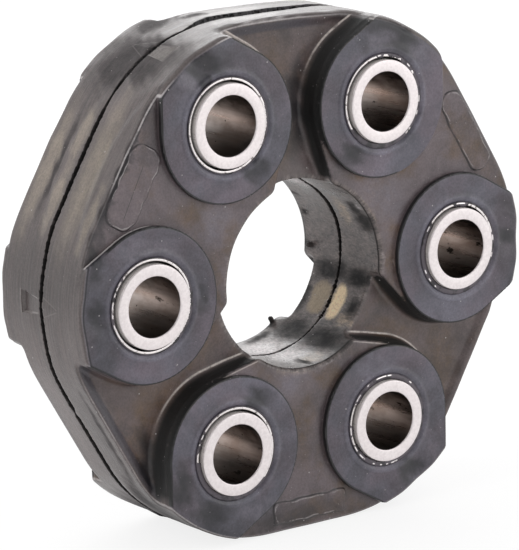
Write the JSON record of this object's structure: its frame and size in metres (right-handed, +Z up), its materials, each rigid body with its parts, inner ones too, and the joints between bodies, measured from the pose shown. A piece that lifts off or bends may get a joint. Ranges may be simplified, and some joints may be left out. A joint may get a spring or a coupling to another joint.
{
  "type": "driveshaft flex disc",
  "caption": "Rubber driveshaft coupling disc, a rounded hexagon with a large centre bore and steel bolt sleeves joined in pairs by moulded-in cord loops.",
  "frame": {"origin": "centre of the disc: on the axis of the centre bore, halfway through the thickness", "axes": "+Z up as the disc stands on a flat of its rim, +Y along the centre bore from the front face to the rear face, +X to the right seen from the front"},
  "size_m": [0.1122, 0.031, 0.1064],
  "materials": {
    "rubber": "matte",
    "sleeve_steel": "satin",
    "collar_steel": "satin",
    "cord": "matte"
  },
  "bodies": {
    "root": {"rubber_body": "rubber", "bolt_sleeve_1": "sleeve_steel", "bolt_sleeve_2": "sleeve_steel", "bolt_sleeve_3": "sleeve_steel", "bolt_sleeve_4": "sleeve_steel", "bolt_sleeve_5": "sleeve_steel", "bolt_sleeve_6": "sleeve_steel", "collar_front_1": "collar_steel", "collar_front_2": "collar_steel", "collar_front_3": "collar_steel", "collar_front_4": "collar_steel", "collar_front_5": "collar_steel", "collar_front_6": "collar_steel", "collar_rear_1": "collar_steel", "collar_rear_2": "collar_steel", "collar_rear_3": "collar_steel", "collar_rear_4": "collar_steel", "collar_rear_5": "collar_steel", "collar_rear_6": "collar_steel", "outer_cord_loop_front_1": "cord", "outer_cord_loop_front_2": "cord", "outer_cord_loop_front_3": "cord", "outer_cord_loop_rear_1": "cord", "outer_cord_loop_rear_2": "cord", "outer_cord_loop_rear_3": "cord", "inner_cord_loop_1": "cord", "inner_cord_loop_2": "cord", "inner_cord_loop_3": "cord"}
  },
  "joints": []
}
